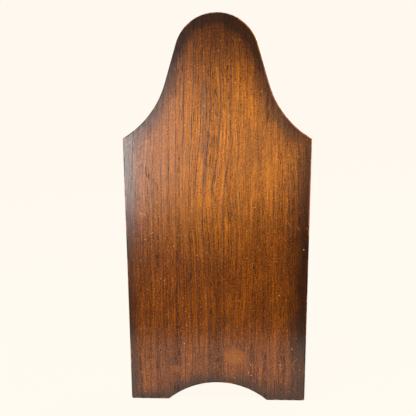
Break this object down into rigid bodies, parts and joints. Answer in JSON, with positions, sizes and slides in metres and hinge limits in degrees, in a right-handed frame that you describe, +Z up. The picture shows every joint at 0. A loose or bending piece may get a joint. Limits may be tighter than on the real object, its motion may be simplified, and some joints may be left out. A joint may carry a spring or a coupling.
{
  "type": "hand bellows",
  "caption": "Standing hand bellows with a shaped oak back board on two feet, a hinged front board, a leather bag, a flap valve and a tapered brass nozzle.",
  "frame": {"origin": "middle of the bounding box, on the surface the feet stand on", "axes": "+Z up, towards the handle ends; -Y out of the back board's plain face; +Y along the nozzle, towards its tip"},
  "size_m": [0.194, 0.17, 0.4],
  "materials": {
    "oak_back": "satin",
    "oak_front": "satin",
    "block_wood": "satin",
    "bearer_wood": "matte",
    "bag_leather": "satin",
    "welt_leather": "satin",
    "brass_nails": "polished",
    "brass": "aged",
    "nozzle_brass": "aged",
    "hinge_brass": "aged",
    "iron": "dark"
  },
  "bodies": {
    "stand": {"apron_screws": "iron", "back_bearer_left": "bearer_wood", "back_bearer_right": "bearer_wood", "back_bearer_top": "bearer_wood", "back_board": "oak_back", "back_nails": "brass_nails", "back_welt": "welt_leather", "block_dowels": "bearer_wood", "block_nails": "brass_nails", "block_welt_left": "welt_leather", "block_welt_right": "welt_leather", "flange_screws": "brass", "front_apron": "oak_front", "hinge_leather": "bag_leather", "hinge_lower_screws": "iron", "leather_gusset": "bag_leather", "left_hinge_lower_leaf": "hinge_brass", "left_hinge_pin": "iron", "nozzle_block": "block_wood", "nozzle_flange": "brass", "nozzle_tip_ring": "nozzle_brass", "nozzle_tube": "nozzle_brass", "right_hinge_lower_leaf": "hinge_brass", "right_hinge_pin": "iron"},
    "front": {"front_board": "oak_front", "front_bearer_left": "bearer_wood", "front_bearer_right": "bearer_wood", "front_bearer_top": "bearer_wood", "front_welt": "welt_leather", "front_nails": "brass_nails", "left_hinge_upper_leaf": "hinge_brass", "right_hinge_upper_leaf": "hinge_brass", "hinge_upper_screws": "iron", "valve_grille": "brass", "grille_pins": "brass_nails", "valve_tab": "bag_leather", "valve_strap": "bag_leather", "valve_tacks": "iron"},
    "flap": {"valve_flap": "bearer_wood", "valve_facing": "bag_leather"},
    "rib": {"rib_left": "bearer_wood", "rib_right": "bearer_wood", "rib_top": "bearer_wood"}
  },
  "joints": [
    {"name": "board_hinge", "type": "hinge", "parent": "stand", "child": "front", "pos_m": [0, -0.0182, 0.074], "axis": [-1, 0, 0], "range_deg": [0, 24], "deforming": ["leather_gusset", "hinge_leather"]},
    {"name": "rib_hinge", "type": "hinge", "parent": "stand", "child": "rib", "pos_m": [0, -0.0182, 0.074], "axis": [-1, 0, 0], "range_deg": [0, 12]},
    {"name": "valve_hinge", "type": "hinge", "parent": "front", "child": "flap", "pos_m": [0, -0.035, 0.2072], "axis": [-1, 0, 0], "range_deg": [0, 11]}
  ],
  "couplings": [
    {"joint": "rib_hinge", "follows": "board_hinge", "ratio": 0.5}
  ]
}
